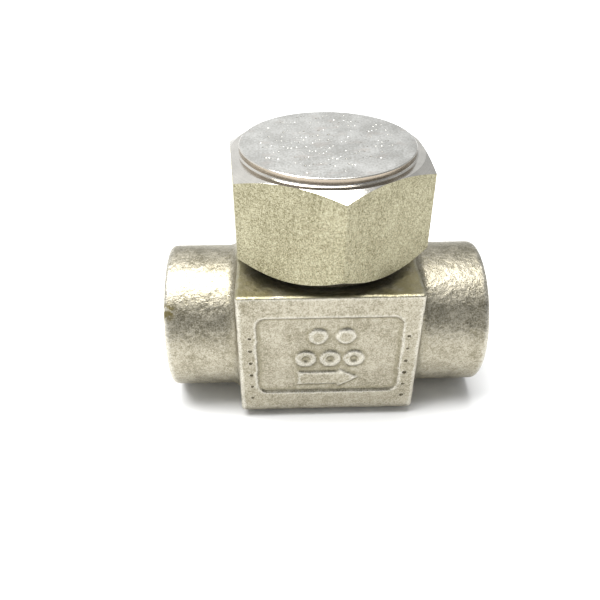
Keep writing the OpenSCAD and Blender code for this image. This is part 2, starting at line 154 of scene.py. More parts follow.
class CapSettings(bpy.types.PropertyGroup):
    """Sizes of the hexagon cap."""

    across_flats: length("Across flats", "Width of the hexagon across its flats", 44.7)
    turn: FloatProperty(
        name="Turn",
        description="Angle of the hexagon's first corner, seen from above",
        default=math.radians(34.95),
        subtype="ANGLE",
    )
    boss_radius: length("Boss radius", "Radius of the round boss on top", 20.45)
    boss_height: length("Boss height", "Height of the boss above its shoulder", 1.72)
    boss_fillet: length("Boss fillet", "Radius of the fillet at the root of the boss", 0.35)
    boss_edge: length("Boss edge", "Width of the broken edge round the boss", 0.2)
    top_chamfer_radius: length("Top chamfer radius", "Radius at which the top chamfer starts", 22.45)
    top_chamfer_slope: FloatProperty(
        name="Top chamfer slope",
        description="Slope of the top chamfer below the level",
        default=math.radians(27.6),
        subtype="ANGLE",
    )
    foot_chamfer_radius: length("Foot chamfer radius", "Radius at which the foot chamfer starts", 22.05)
    foot_chamfer_slope: FloatProperty(
        name="Foot chamfer slope",
        description="Slope of the foot chamfer above the level",
        default=math.radians(43),
        subtype="ANGLE",
    )
    minor_radius: length("Thread minor radius", "Radius of the hollow between the thread grooves", 17.8)
    major_radius: length("Thread major radius", "Radius at the bottom of the thread grooves", 18.5)
    pitch: length("Pitch", "Rise of the thread in one turn", 2)
    ceiling: length("Ceiling", "Height of the flat that closes the hollow", 59)
    gasket_inner: length("Gasket recess, inside", "Inner radius of the gasket's recess", 13.2)
    gasket_outer: length("Gasket recess, outside", "Outer radius of the gasket's recess", 16.9)
    gasket_top: length("Gasket recess top", "Height of the top of the gasket's recess", 59.4)
    pocket_radius: length("Spring pocket radius", "Radius of the pocket for the spring", 8.5)
    pocket_top: length("Spring pocket top", "Height of the top of the spring's pocket", 61.2)
    edge_width: length("Edge width", "Width of the broken edges", 0.16, 0, 1)
    dimple_radius: length("Dimple radius", "Radius of the balls that leave the peened dimples", 0.44)
    dimple_rows: IntProperty(
        name="Dimple rows", description="Rows of peened dimples on the boss", default=11, min=0, max=20
    )


class SpringSettings(bpy.types.PropertyGroup):
    """Sizes of the return spring."""

    wire_radius: length("Wire radius", "Radius of the spring wire", 0.45)
    coils: IntProperty(
        name="Working coils", description="Coils between the closed ends", default=8, min=3, max=20
    )


class FinishSettings(bpy.types.PropertyGroup):
    """Colours of the finishes."""

    cast_light: finish_colour("Cast skin, light", "Light tone of the blasted casting", (0.50, 0.465, 0.375))
    cast_dark: finish_colour("Cast skin, dark", "Dark tone of the blasted casting", (0.20, 0.18, 0.122))
    stain: finish_colour("Stain", "Olive stain left on the casting", (0.16, 0.13, 0.045))
    flat_light: finish_colour("Flats, light", "Light tone of the hexagon flats", (0.52, 0.49, 0.345))
    flat_dark: finish_colour("Flats, dark", "Dark tone of the hexagon flats", (0.165, 0.148, 0.08))
    turned: finish_colour("Turned steel", "Bright turned steel", (0.76, 0.73, 0.67))
    # Boss rim: a darker brownish tone, part tarnish and part painted dark reflection.
    rim: finish_colour("Boss rim", "Tarnished side of the boss", (0.42, 0.36, 0.285))
    wire: finish_colour("Spring wire", "Drawn spring wire", (0.50, 0.50, 0.51))
    seal_white: finish_colour("White seal", "Pressed white seal", (0.85, 0.84, 0.79))
    seal_dark: finish_colour("Dark seal", "Graphite seal", (0.055, 0.055, 0.06))


class StageSettings(bpy.types.PropertyGroup):
    """Camera, floor and light."""

    camera_place: FloatVectorProperty(
        name="Camera place",
        description="Where the camera stands",
        default=(-0.011259, -0.142668, 0.122516),
        size=3,
        subtype="TRANSLATION",
        unit="LENGTH",
    )
    camera_turn: FloatVectorProperty(
        name="Camera turn",
        description="Azimuth, elevation and roll of the camera",
        default=(math.radians(-1.98), math.radians(34.97), math.radians(0.13)),
        size=3,
        subtype="EULER",
    )
    lens: FloatProperty(name="Lens", description="Focal length on a 36 mm sensor", default=38.98, min=10)
    floor_tone: finish_colour("Floor", "Tone of the floor", (0.93, 0.93, 0.925))
    top_light: FloatProperty(name="Top light", description="Power of the overhead light", default=5.2, min=0)
    surround_front: FloatProperty(
        name="Surround, front", description="Strength of the surrounding light in front", default=0.42, min=0
    )
    surround_back: FloatProperty(
        name="Surround, back", description="Strength of the surrounding light behind", default=1.0, min=0
    )
    glow: FloatProperty(
        name="Floor glow", description="How much the floor away from the valve is lifted", default=0.5, min=0
    )


# ---------------------------------------------------------------- shader maths


class Wire:
    """A socket in a node tree, on which plain arithmetic adds Math nodes."""

    def __init__(self, tree, socket):
        self.tree = tree
        self.socket = socket

    def node(self, kind, settings=None, inputs=None, out=0):
        """Adds a node: its settings first, then the values or links of its sockets."""
        made = self.tree.nodes.new(kind)
        for key, value in (settings or {}).items():
            if key == "stops":
                ramp = made.color_ramp
                while len(ramp.elements) < len(value):
                    ramp.elements.new(1.0)
                for element, (place, colour) in zip(ramp.elements, value):
                    element.position = place
                    element.color = (*colour, 1.0) if len(colour) == 3 else colour
            else:
                setattr(made, key, value)
        for key, value in (inputs or {}).items():
            if isinstance(value, Wire):
                self.tree.links.new(value.socket, made.inputs[key])
            else:
                if isinstance(value, (tuple, list)) and made.inputs[key].type == "RGBA" and len(value) == 3:
                    value = (*value, 1.0)
                made.inputs[key].default_value = value
        return Wire(self.tree, made.outputs[out])

    def sum_node(self, operation, a, b):
        return self.node("ShaderNodeMath", {"operation": operation}, {0: a, 1: b})

    def __add__(self, other):
        return self.sum_node("ADD", self, other)

    __radd__ = __add__

    def __sub__(self, other):
        return self.sum_node("SUBTRACT", self, other)

    def __rsub__(self, other):
        return self.sum_node("SUBTRACT", other, self)

    def __mul__(self, other):
        return self.sum_node("MULTIPLY", self, other)

    __rmul__ = __mul__

    def __truediv__(self, other):
        return self.sum_node("DIVIDE", self, other)

    def __pow__(self, other):
        return self.sum_node("POWER", self, other)

    def band(self, low, high, to_low=0.0, to_high=1.0):
        """Maps low..high to to_low..to_high, smoothly and held at both ends."""
        return self.node(
            "ShaderNodeMapRange",
            {"interpolation_type": "SMOOTHSTEP", "clamp": True},
            {"Value": self, "From Min": low, "From Max": high, "To Min": to_low, "To Max": to_high},
        )

    def mixed(self, a, b):
        """Colour a where this is 0 and colour b where it is 1."""
        return self.node(
            "ShaderNodeMix", {"data_type": "RGBA", "clamp_factor": True}, {0: self, 6: a, 7: b}, out=2
        )


class Finish:
    """A material being built from its Principled shader, with the place on the piece in millimetres."""

    def __init__(self, name, **shader):
        self.material = bpy.data.materials.new(name)
        self.material.use_nodes = True
        self.tree = self.material.node_tree
        self.shader = self.tree.nodes["Principled BSDF"]
        for key, value in shader.items():
            self.shader.inputs[key.replace("_", " ").title()].default_value = value
        texture = self.tree.nodes.new("ShaderNodeTexCoord")
        start = Wire(self.tree, texture.outputs["Object"])
        self.place = start.node(
            "ShaderNodeVectorMath", {"operation": "SCALE"}, {0: start, "Scale": 1 / MM}
        )
        split = self.place.node("ShaderNodeSeparateXYZ", {}, {0: self.place})
        self.x = split
        self.y = Wire(self.tree, split.socket.node.outputs[1])
        self.z = Wire(self.tree, split.socket.node.outputs[2])

    def attribute(self, name):
        """A number kept at each point of the piece's own mesh."""
        return self.place.node("ShaderNodeAttribute", {"attribute_name": name}, {}, out="Fac")

    def stretched(self, x, y, z):
        """The place, multiplied along each axis."""
        return self.place.node(
            "ShaderNodeVectorMath", {"operation": "MULTIPLY"}, {0: self.place, 1: (x, y, z)}
        )

    def grain(self, size, detail=3.0, rough=0.55, at=None):
        """Noise from 0 to 1 with features of about size millimetres."""
        return self.place.node(
            "ShaderNodeTexNoise",
            {"noise_dimensions": "3D"},
            {"Vector": at or self.place, "Scale": 1 / size, "Detail": detail, "Roughness": rough},
        )

    def cells(self, size, at=None):
        """Distance to the nearest of points scattered size millimetres apart."""
        return self.place.node(
            "ShaderNodeTexVoronoi", {"feature": "F1"}, {"Vector": at or self.place, "Scale": 1 / size}
        )

    def near(self, point, reach):
        """1 at the point, falling to 0 at reach millimetres from it."""
        gap = self.place.node(
            "ShaderNodeVectorMath", {"operation": "DISTANCE"}, {0: self.place, 1: point}, out=1
        )
        return gap.band(reach * 0.35, reach, 1.0, 0.0)

    def axis_distance(self, a, b):
        """Distance from an axis, from the two coordinates across it."""
        return (a * a + b * b) ** 0.5

    def use(self, colour=None, roughness=None, glow=None, relief=()):
        """Links what varies to the shader; relief is a list of (height, depth in millimetres)."""
        for value, name in ((colour, "Base Color"), (roughness, "Roughness"), (glow, "Emission Color")):
            if value is not None:
                self.tree.links.new(value.socket, self.shader.inputs[name])
        normal = None
        for height, depth in relief:
            bump = self.tree.nodes.new("ShaderNodeBump")
            bump.inputs["Strength"].default_value = 1.0
            bump.inputs["Distance"].default_value = depth * MM
            self.tree.links.new(height.socket, bump.inputs["Height"])
            if normal is not None:
                self.tree.links.new(normal, bump.inputs["Normal"])
            normal = bump.outputs[0]
        if normal is not None:
            self.tree.links.new(normal, self.shader.inputs["Normal"])
        return self.material


def finishes():
    return bpy.context.scene.valve_finishes


def cast_skin():
    """Blasted cast steel: pebbled and speckled, with olive dirt and painted shade in the hollows, paler worn
    edges that also paint a highlight, painted shade on the top face and a painted shadow round the neck under
    the cap, and a few stains.
    """
    tones = finishes()
    skin = Finish("cast_skin", metallic=1.0)
    broad = skin.grain(9.0, 2.0)
    patch = skin.grain(2.4, 3.0)
    pebble = skin.grain(0.9, 2.0, 0.5)
    lump = skin.grain(1.9, 2.0, 0.5)
    fine = skin.grain(0.34, 2.0, 0.65)
    shape = skin.attribute("relief")
    tone = (broad * 0.3 + patch * 0.3 + pebble * 0.3 + fine * 0.8).band(0.62, 1.06)
    colour = tone.mixed(tuple(tones.cast_dark), tuple(tones.cast_light))
    # Hollows: dark olive mixed in where the relief sinks below its surroundings, part dirt and part painted
    # shade in the creases.
    hollow = shape.band(-0.075, -0.008, 1.0, 0.0) * patch.band(0.25, 0.6, 0.65, 1.0)
    colour = (hollow * 0.5).mixed(colour, (0.19, 0.17, 0.10))
    # Raised edges: pale colour for wear, and also a painted highlight along the edges.
    worn_edge_and_highlight = shape.band(0.015, 0.09) * fine.band(0.3, 0.6, 0.4, 1.0)
    colour = (worn_edge_and_highlight * 0.45).mixed(colour, (0.82, 0.80, 0.73))
    pit = skin.cells(0.85).band(0.05, 0.22, 1.0, 0.0) * patch.band(0.47, 0.6)
    colour = (pit * 0.6).mixed(colour, (0.14, 0.125, 0.08))
    # Top face of the block: darker olive, partly its own tint and partly painted shade from the cap above.
    top_face_tint_and_shade = skin.z.band(38.0, 38.7) * skin.grain(4.0, 3.0).band(0.3, 0.62, 0.35, 0.8)
    colour = top_face_tint_and_shade.mixed(colour, (0.30, 0.27, 0.14))
    # Painted shadow: near-black on the top face round the neck, where the cap shades it.
    cap_shadow_paint = skin.z.band(38.0, 38.7) * skin.axis_distance(skin.x, skin.y).band(18.5, 23.0, 0.95, 0.0)
    colour = cap_shadow_paint.mixed(colour, (0.025, 0.022, 0.01))
    stain = skin.near((-39.0, -14.6, 30.0), 3.0) * skin.grain(1.1, 2.0).band(0.36, 0.52)
    colour = (stain * 0.9).mixed(colour, tuple(tones.stain))
    rough = patch.band(0.3, 0.7, 0.37, 0.47) + fine.band(0.35, 0.65, -0.03, 0.05) + pit * 0.2
    return skin.use(colour, rough, relief=[(lump, 0.09), (pebble, 0.11), (fine, 0.05), (1 - pit, 0.03)])


def turned_face(name, tone, low, high, line, depth, about="z"):
    """Turned steel with fine rings round an axis, where about names the axis."""
    face = Finish(name, metallic=1.0)
    if about == "x":
        centre = bpy.context.scene.valve_casting.axis_height / MM
        radius, along = face.axis_distance(face.y, face.z - centre), face.x
    else:
        radius, along = face.axis_distance(face.x, face.y), face.z
    rings = face.place.node("ShaderNodeCombineXYZ", {}, {0: radius, 1: along, 2: 0.0})
    lines = face.grain(line, 3.0, 0.7, at=rings)
    coarse = face.grain(line * 6, 2.0, 0.5, at=rings)
    smear = face.grain(5.0, 3.0)
    shade = (lines * 0.5 + smear * 0.5).band(0.32, 0.68)
    colour = shade.mixed(tuple(0.80 * c for c in tone), tone)
    rough = (lines * 0.6 + coarse * 0.4).band(0.3, 0.7, low, high) + smear.band(0.4, 0.7, 0.0, 0.05)
    return face.use(colour, rough, relief=[(lines, depth)])


def sawn_flat():
    """Hexagon flats: grainy, olive-beige, with fine lines along the bar."""
    tones = finishes()
    flat = Finish("sawn_flat", metallic=1.0)
    grit = flat.grain(0.26, 2.0, 0.7)
    crumb = flat.grain(0.62, 2.0, 0.6)
    streak = flat.grain(1.2, 3.0, 0.6, at=flat.stretched(1.4, 1.4, 0.09))
    cloud = flat.grain(7.0, 2.0)
    tone = (grit * 0.95 + crumb * 0.40 + streak * 0.14 + cloud * 0.16).band(0.62, 1.04)
    colour = tone.mixed(tuple(tones.flat_dark), tuple(tones.flat_light))
    pits = flat.cells(0.75).band(0.05, 0.24, 1.0, 0.0) * crumb.band(0.48, 0.58)
    colour = (pits * 0.7).mixed(colour, (0.12, 0.10, 0.04))
    glint = flat.grain(0.22, 1.0, 0.5).band(0.60, 0.72)
    colour = (glint * 0.4).mixed(colour, (0.80, 0.77, 0.62))
    rough = grit.band(0.3, 0.7, 0.42, 0.58) - glint * 0.12
    return flat.use(colour, rough, relief=[(grit, 0.07), (crumb, 0.06), (streak, 0.015)])


def boss_face():
    """Top of the boss: finely faced, pale, with cloudy dull patches and a fine tooth."""
    face = Finish("boss_face", metallic=1.0)
    radius = face.axis_distance(face.x, face.y)
    rings = face.place.node("ShaderNodeCombineXYZ", {}, {0: radius, 1: 0.0, 2: 0.0})
    lines = face.grain(0.22, 2.0, 0.6, at=rings)
    cloud = face.grain(6.0, 3.0)
    warm = face.grain(4.2, 2.0, 0.5, at=face.stretched(1.0, 1.3, 1.0))
    dust = face.grain(0.5, 3.0, 0.65)
    shade = (lines * 0.2 + cloud * 0.35 + dust * 0.65).band(0.46, 0.74)
    colour = shade.mixed((0.50, 0.49, 0.45), (0.72, 0.715, 0.685))
    colour = (warm.band(0.55, 0.72) * 0.5).mixed(colour, (0.60, 0.55, 0.50))
    rough = (cloud * 0.6 + dust * 0.4).band(0.35, 0.65, 0.30, 0.42)
    return face.use(colour, rough, relief=[(lines, 0.005), (dust, 0.014)])


def punched():
    """Inside of the dimples: dull and uneven, some dark and some pale."""
    spot = Finish("punched", metallic=1.0)
    fleck = spot.grain(0.3, 3.0, 0.6)
    cloud = spot.grain(2.2, 2.0)
    tone = (fleck * 0.3 + cloud * 0.7).band(0.42, 0.58)
    colour = tone.mixed((0.16, 0.15, 0.13), (0.74, 0.73, 0.68))
    return spot.use(colour, fleck.band(0.3, 0.7, 0.40, 0.56), relief=[(fleck, 0.008)])


def drawn_wire():
    """Spring wire with fine lines and a slight darkening."""
    wire = Finish("drawn_wire", metallic=1.0)
    lines = wire.grain(0.16, 3.0, 0.6, at=wire.stretched(0.6, 0.6, 3.0))
    patch = wire.grain(3.0, 2.0)
    tone = tuple(finishes().wire)
    colour = (lines * 0.5 + patch * 0.5).band(0.35, 0.7).mixed(tuple(0.7 * c for c in tone), tone)
    return wire.use(colour, lines.band(0.3, 0.7, 0.22, 0.36), relief=[(lines, 0.008)])


def seal(name, tone, speck_tone, roughness, depth):
    """A pressed seal: slightly mottled, with fine flecks."""
    face = Finish(name, metallic=0.0)
    fleck = face.grain(0.25, 3.0, 0.7)
    cloud = face.grain(2.0, 2.0)
    mask = (fleck * 0.6 + cloud * 0.4).band(0.5, 0.68)
    colour = mask.mixed(tone, speck_tone)
    rough = fleck.band(0.3, 0.7, roughness - 0.06, roughness + 0.08)
    return face.use(colour, rough, relief=[(fleck, depth)])


# ---------------------------------------------------------------- modelling


def clamp(value, low=0.0, high=1.0):
    """The value, held between low and high."""
    return max(low, min(high, value))


def only_nothing():
    """Deselects everything, in object mode."""
    if bpy.context.mode != "OBJECT":
        bpy.ops.object.mode_set(mode="OBJECT")
    bpy.ops.object.select_all(action="DESELECT")


def only(obj):
    """Selects one object and nothing else."""
    only_nothing()
    obj.select_set(True)
    bpy.context.view_layer.objects.active = obj
    return obj


def modify(obj, kind, **settings):
    """Adds a modifier with its settings and applies it."""
    only(obj)
    modifier = obj.modifiers.new(kind.title(), kind)
    for key, value in settings.items():
        setattr(modifier, key, value)
    bpy.ops.object.modifier_apply(modifier=modifier.name)
    return obj


def placed(obj, name):
    """Names the finished piece and puts its place into its mesh."""
    only(obj)
    bpy.ops.object.transform_apply(location=True, rotation=True, scale=True)
    obj.name = name
    obj.data.name = name
    return obj


def copy_of_node(node, name):
    """A merged copy of a CAD node's mesh, as a new object."""
    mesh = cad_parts[node].data.copy()
    obj = bpy.data.objects.new(name, mesh)
    bpy.context.scene.collection.objects.link(obj)
    mesh.materials.clear()
    only(obj)
    bpy.ops.object.mode_set(mode="EDIT")
    bpy.ops.mesh.select_all(action="SELECT")
    bpy.ops.mesh.remove_doubles(threshold=WELD)
    bpy.ops.mesh.customdata_custom_splitnormals_clear()
    bpy.ops.object.mode_set(mode="OBJECT")
    return obj


def coat(obj, material):
    """Gives the whole object one material."""
    obj.data.materials.clear()
    obj.data.materials.append(material)


def close_ends(obj, sides):
    """Fills the open ends of a swept shape and turns its faces outwards."""
    only(obj)
    bpy.ops.object.mode_set(mode="EDIT")
    bpy.ops.mesh.select_all(action="SELECT")
    bpy.ops.mesh.fill_holes(sides=sides)
    bpy.ops.mesh.normals_make_consistent(inside=False)
    bpy.ops.object.mode_set(mode="OBJECT")


def turn_at(x, y, rise, pitch):
    """How many turns up a screw of this pitch a point lies, and how far round the axis."""
    share = (math.atan2(y, x) / math.tau) % 1.0
    return round(rise / pitch - share) + share, share


def carve(obj, tool, material=None, operation="DIFFERENCE"):
    """Cuts the object with the tool, gives what the tool leaves the material, and removes the tool."""
    if material is not None:
        coat(tool, material)
    modify(obj, "BOOLEAN", operation=operation, solver="MANIFOLD", material_mode="TRANSFER", object=tool)
    mesh = tool.data
    bpy.data.objects.remove(tool)
    bpy.data.meshes.remove(mesh)
    return obj


def join(pieces, name):
    """Joins the pieces into the first one."""
    only(pieces[0])
    for obj in pieces[1:]:
        obj.select_set(True)
    bpy.ops.object.join()
    return placed(pieces[0], name)


def rod(radius, start, end, sides=96, end_radius=None):
    """A round bar or cone between two points."""
    start, end = Vector(start), Vector(end)
    run = end - start
    only_nothing()
    bpy.ops.mesh.primitive_cone_add(
        vertices=sides,
        radius1=radius,
        radius2=radius if end_radius is None else end_radius,
        depth=run.length,
        location=(start + end) / 2,
        rotation=run.to_track_quat("Z", "Y").to_euler(),
    )
    return placed(bpy.context.object, "tool")


def beads(points, radius, name):
    """Small balls at the given points, as one mesh."""
    made = []
    for point, scale in points:
        only_nothing()
        bpy.ops.mesh.primitive_ico_sphere_add(subdivisions=2, radius=radius * scale, location=point)
        made.append(bpy.context.object)
    return join(made, name)


def turned_shape(profile, name, sides=128, ring=True):
    """A shape turned about the Z axis: a circle extruded through each (radius, height) in turn.

    A ring's last circle meets its first; otherwise flat ends close the shape.
    """
    only_nothing()
    radius, height = profile[0]
    fill = "NOTHING" if ring else "NGON"
    bpy.ops.mesh.primitive_circle_add(vertices=sides, radius=radius, location=(0, 0, height), fill_type=fill)
    obj = bpy.context.object
    bpy.ops.object.transform_apply(location=True, rotation=True, scale=True)
    bpy.ops.object.mode_set(mode="EDIT")
    bpy.ops.mesh.select_all(action="SELECT")
    steps = [*profile[1:], profile[0]] if ring else profile[1:]
    for new_radius, new_height in steps:
        bpy.ops.mesh.extrude_region_move(TRANSFORM_OT_translate={"value": (0, 0, new_height - height)})
        grow = new_radius / radius
        bpy.ops.transform.resize(value=(grow, grow, 1), center_override=(0, 0, new_height))
        radius, height = new_radius, new_height
    bpy.ops.mesh.select_all(action="SELECT")
    if ring:
        bpy.ops.mesh.remove_doubles(threshold=WELD)
    bpy.ops.mesh.normals_make_consistent(inside=False)
    bpy.ops.object.mode_set(mode="OBJECT")
    return placed(obj, name)


def screw_ridge(root, crest, pitch, low, turns, name):
    """A ridge screwed round the Z axis, from root to crest, which runs out at both ends."""
    only_nothing()
    bpy.ops.mesh.primitive_circle_add(vertices=4, radius=0.5 * pitch, fill_type="NOTHING")
    ridge = bpy.context.object
    start = low + 0.5 * pitch
    inner = root - 0.15 * MM
    foot, tip = 0.42 * pitch, 0.12 * pitch
    fade = 0.3
    shape = ((inner, -foot), (crest, -tip), (crest, tip), (inner, foot))
    for vertex, (radius, height) in zip(ridge.data.vertices, shape):
        vertex.co = (radius, 0, start + height)
    modify(ridge, "SCREW", axis="Z", screw_offset=pitch, iterations=turns, steps=96, render_steps=96,
           use_merge_vertices=False)
    close_ends(ridge, 8)
    for vertex in ridge.data.vertices:
        x, y, z = vertex.co
        radius = math.hypot(x, y)
        if radius > root:
            turn, share = turn_at(x, y, z - start, pitch)
            run_out = clamp(min(turn, turns - turn) / fade)
            radius = root + (radius - root) * run_out - (1 - run_out) * 0.1 * MM
            vertex.co = (radius * math.cos(math.tau * share), radius * math.sin(math.tau * share), z)
    return placed(ridge, name)


def smooth(obj, degrees=30):
    """Smooth shading, with an edge wherever faces meet at more than the angle."""
    only(obj)
    bpy.ops.object.shade_smooth_by_angle(angle=math.radians(degrees))


def points_and_normals(mesh):
    """The place and the normal of each point of a mesh, as two arrays."""
    arrays = []
    for values, key in ((mesh.vertices, "co"), (mesh.vertex_normals, "vector")):
        flat = np.empty(len(values) * 3, np.float32)
        values.foreach_get(key, flat)
        arrays.append(flat.reshape(-1, 3))
    return arrays


def roughen(obj, depth, keep):
    """Sinks the surface by gentle cast waviness, except where keep(point) is 0."""
    mesh = obj.data
    place, normal = points_and_normals(mesh)
    sink = np.empty(len(place), np.float32)
    for i, (x, y, z) in enumerate(place.tolist()):
        point = Vector((x, y, z)) / MM
        wave = noise.noise(point * 0.22) * 0.4 + noise.noise(point * 0.6) * 0.55
        wave += noise.noise(point * 1.2) * 0.75
        sink[i] = depth * (0.5 + 0.5 * clamp(wave, -1.0)) * keep(x, y, z)
    place = place - normal * sink[:, None]
    mesh.vertices.foreach_set("co", place.ravel())
    mesh.update()


def note_relief(obj, rounds):
    """Notes at each point how far it stands above its smoothed surroundings, in millimetres."""
    mesh = obj.data
    place, normal = points_and_normals(mesh)
    place = place.astype(float)
    count = len(place)
    ends = np.empty(len(mesh.edges) * 2, np.int32)
    mesh.edges.foreach_get("vertices", ends)
    a, b = ends.reshape(-1, 2).T
    links = np.maximum(np.bincount(a, minlength=count) + np.bincount(b, minlength=count), 1)
    even = place.copy()
    for _ in range(rounds):
        total = np.empty_like(even)
        for axis in range(3):
            total[:, axis] = np.bincount(a, even[b, axis], count) + np.bincount(b, even[a, axis], count)
        even = 0.5 * even + 0.5 * total / links[:, None]
    above = ((place - even) * normal).sum(axis=1) / MM
    layer = mesh.attributes.new("relief", "FLOAT", "POINT")
    layer.data.foreach_set("value", above.astype(np.float32))


class ValveOperator(bpy.types.Operator):
    """Base of the operators that build the valve."""

    bl_options = {"REGISTER", "UNDO"}


class VALVE_OT_casting(ValveOperator):
    """Makes the cast block with its two pipe ends, its bores and its punched dots"""

    bl_idname = "valve.make_casting"
    bl_label = "Casting"

    def execute(self, context):
        size = context.scene.valve_casting
        half = outlet_high.x
        obj = self.solid_shape(size, half)
        modify(obj, "REMESH", mode="VOXEL", voxel_size=size.grain, adaptivity=0.0)
        modify(obj, "SMOOTH", factor=0.5, iterations=1)

        faced_from, fade = half - 0.9 * MM, 0.6 * MM
        foot_fade = 1.5 * MM

        def keep(x, y, z):
            """1 on the skin, 0 on the faced ends and the foot."""
            faced = 1.0 - clamp((abs(x) - faced_from) / fade)
            return faced * clamp(z / foot_fade)

        roughen(obj, size.skin_depth, keep)
        coat(obj, cast_skin())
        self.punch_dots(obj, size)
        self.bore(obj, size, half)
        note_relief(obj, 8)
        smooth(obj, 38)
        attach(obj, "body")
        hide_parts("valve_body", "inlet_end", "outlet_end")
        return {"FINISHED"}

    def solid_shape(self, size, half):
        """The casting as it leaves the mould: its outside, with every hollow filled."""
        axis = size.axis_height
        skin = 0.8 * MM
        pieces = [copy_of_node(name, name + "_copy") for name in ("valve_body", "inlet_end", "outlet_end")]
        pieces.append(rod(size.socket_radius + skin, (-half, 0, axis), (half, 0, axis)))
        low, high = size.well_floor - skin, size.block_height
        pieces.append(rod(size.gallery_radius + skin, (0, 0, low), (0, 0, high)))
        return join(pieces, "casting")

    def punch_dots(self, obj, size):
        """Two columns of small punched dots on the front face."""
        wander = Random(7)
        points = []
        for side in (-1, 1):
            for row in range(6):
                height = size.dot_foot + row * size.dot_pitch
                face = body_low.y + (size.block_height - height) * math.tan(size.face_draft)
                place = (side * size.dot_side + wander.uniform(-1, 1) * 0.08 * MM, face, height)
                points.append((place, wander.uniform(0.8, 1.15)))
        carve(obj, beads(points, size.dot_radius, "dot_tool"))

    def bore(self, obj, size, half):
        """The sockets, the slanting passages, the well, the seat pocket, the gallery and the chamber."""
        axis = size.axis_height
        shaving = 0.02 * MM
        bright = turned_face("bored_steel", tuple(finishes().turned), 0.22, 0.34, 0.16, 0.012, "x")
        inner = half - size.socket_depth
        for side in (-1, 1):
            past = side * (half + MM)
            chamfer_end = side * (half - size.socket_chamfer)
            carve(obj, rod(half, (side * (half - shaving), 0, axis), (past, 0, axis)), bright)
            carve(obj, rod(size.socket_radius, (side * inner, 0, axis), (past, 0, axis)), bright)
            flare = rod(
                size.socket_radius + size.socket_chamfer + MM,
                (past, 0, axis),
                (chamfer_end, 0, axis),
                end_radius=size.socket_radius,
            )
            carve(obj, flare, bright)
        well_side, gallery_side = -2 * MM, 12 * MM
        ports = (
            ((-inner - MM, 0, axis), (well_side, 0, axis - size.inlet_drop)),
            ((inner + MM, 0, axis), (gallery_side, 0, axis + size.outlet_rise)),
        )
        for start, end in ports:
            carve(obj, rod(size.port_radius, start, end), bright)
        clear = 0.4 * MM
        steps = (
            (size.well_radius, size.well_floor, size.gallery_floor),
            (size.pocket_radius, size.pocket_floor, size.gallery_floor + clear),
            (size.gallery_radius, size.gallery_floor, size.gallery_top),
            (size.chamber_radius + clear, size.gallery_top - clear, size.block_height + MM),
        )
        for radius, low, high in steps:
            carve(obj, rod(radius, (0, 0, low), (0, 0, high), 128), bright)


class VALVE_OT_neck(ValveOperator):
    """Makes the neck with its screw thread"""

    bl_idname = "valve.make_neck"
    bl_label = "Neck"

    def execute(self, context):
        size = context.scene.valve_neck
        foot, top = neck_low.z, neck_high.z
        thread_low = foot + size.relief_height
        edge, small = 0.35 * MM, 0.15 * MM
        buried = foot - 0.3 * MM
        profile = [
            (size.bore_radius, buried),
            (size.relief_radius, buried),
            (size.relief_radius, thread_low - edge),
            (size.root_radius, thread_low + small),
            (size.root_radius, top - edge),
            (size.root_radius - edge, top),
            (size.seat_radius + small, top),
            (size.seat_radius, top - small),
            (size.seat_radius, top - size.seat_depth),
            (size.bore_radius + small, top - size.seat_depth),
            (size.bore_radius, top - size.seat_depth - small),
        ]
        neck = turned_shape(profile, "neck")
        turns = int((top - thread_low) / size.pitch - 0.4)
        ridge = screw_ridge(size.root_radius, size.crest_radius, size.pitch, thread_low, turns, "thread")
        join([neck, ridge], "neck")
        coat(neck, turned_face("neck_steel", tuple(finishes().turned), 0.18, 0.30, 0.2, 0.008))
        smooth(neck, 35)
        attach(neck, "body")
        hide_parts("valve_neck")
        return {"FINISHED"}


